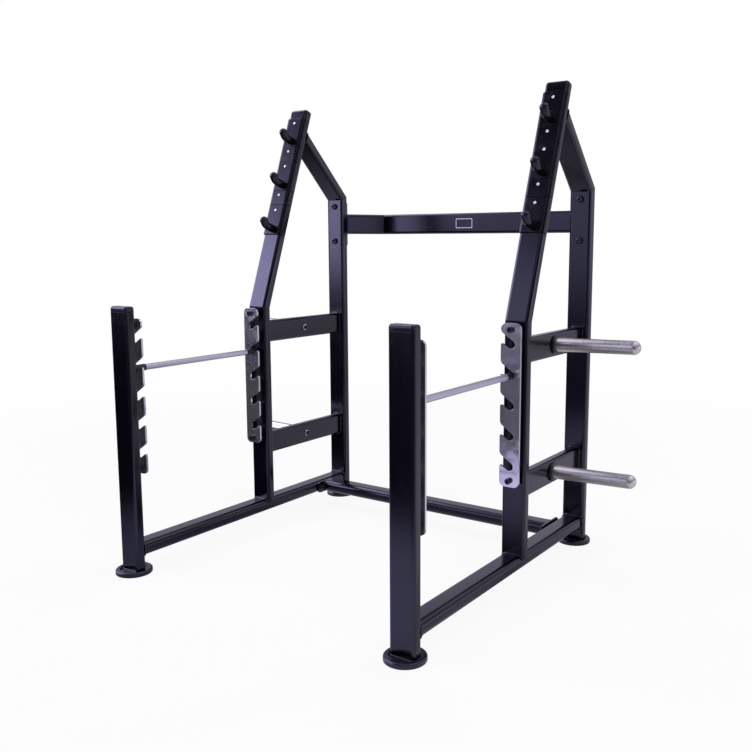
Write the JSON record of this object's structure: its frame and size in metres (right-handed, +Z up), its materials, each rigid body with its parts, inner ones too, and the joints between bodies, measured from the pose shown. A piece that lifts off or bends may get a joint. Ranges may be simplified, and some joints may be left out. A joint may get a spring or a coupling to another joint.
{
  "type": "squat rack",
  "caption": "Open squat rack: two tube side frames on round rubber feet, angled bar hooks, notched catch plates with safety rods, weight pegs, two crossbeams.",
  "frame": {"origin": "on the floor, at the centre of the box of the whole rack", "axes": "+Z up; +Y from the lifter's open side to the crossbeams at the back; +X to the right as seen from the open side"},
  "size_m": [1.877, 1.495, 1.7531],
  "materials": {
    "steel_black": "satin black powder coat",
    "plate_plated": "satin zinc or nickel plating",
    "rod_plated": "bright plated round bar",
    "flange_black": "black coated steel",
    "peg_stainless": "brushed stainless steel",
    "plastic_black": "fine grained black nylon",
    "sleeve_black": "dense black polyurethane sleeve",
    "foot_rubber": "moulded black rubber"
  },
  "bodies": {
    "rack": {"bar_hook_high_left": "sleeve_black", "bar_hook_high_right": "sleeve_black", "bar_hook_low_left": "sleeve_black", "bar_hook_low_right": "sleeve_black", "bar_hook_middle_left": "sleeve_black", "bar_hook_middle_right": "sleeve_black", "base_tube_left": "steel_black", "base_tube_right": "steel_black", "diagonal_left": "steel_black", "diagonal_right": "steel_black", "front_catch_plate_left": "plate_plated", "front_catch_plate_right": "plate_plated", "front_foot_left": "foot_rubber", "front_foot_right": "foot_rubber", "front_post_cap_left": "plastic_black", "front_post_cap_right": "plastic_black", "front_post_left": "steel_black", "front_post_right": "steel_black", "hook_cover_high_left": "plastic_black", "hook_cover_high_right": "plastic_black", "hook_cover_low_left": "plastic_black", "hook_cover_low_right": "plastic_black", "hook_cover_middle_left": "plastic_black", "hook_cover_middle_right": "plastic_black", "leaning_upright_cap_left": "plastic_black", "leaning_upright_cap_right": "plastic_black", "leaning_upright_left": "steel_black", "leaning_upright_right": "steel_black", "lower_brace_left": "steel_black", "lower_brace_right": "steel_black", "lower_crossbeam": "steel_black", "main_catch_plate_left": "plate_plated", "main_catch_plate_right": "plate_plated", "main_upright_left": "steel_black", "main_upright_right": "steel_black", "peg_flange_lower_left": "flange_black", "peg_flange_lower_right": "flange_black", "peg_flange_upper_left": "flange_black", "peg_flange_upper_right": "flange_black", "rear_foot_left": "foot_rubber", "rear_foot_right": "foot_rubber", "rear_upright_left": "steel_black", "rear_upright_right": "steel_black", "spacer_cover_high_left": "plastic_black", "spacer_cover_high_right": "plastic_black", "spacer_cover_low_left": "plastic_black", "spacer_cover_low_right": "plastic_black", "upper_brace_left": "steel_black", "upper_brace_right": "steel_black", "upper_crossbeam": "steel_black", "weight_peg_lower_left": "peg_stainless", "weight_peg_lower_right": "peg_stainless", "weight_peg_upper_left": "peg_stainless", "weight_peg_upper_right": "peg_stainless"},
    "rod_left": {"safety_rod_left": "rod_plated", "rod_sleeve_front_left": "sleeve_black", "rod_sleeve_rear_left": "sleeve_black"},
    "rod_right": {"safety_rod_right": "rod_plated", "rod_sleeve_front_right": "sleeve_black", "rod_sleeve_rear_right": "sleeve_black"}
  },
  "joints": [
    {"name": "rod_left_lift_out", "type": "slide", "parent": "rack", "child": "rod_left", "axis": [0.8387, 0, 0.5446], "range_m": [0, 0.085]},
    {"name": "rod_right_lift_out", "type": "slide", "parent": "rack", "child": "rod_right", "axis": [-0.8387, 0, 0.5446], "range_m": [0, 0.085]}
  ]
}
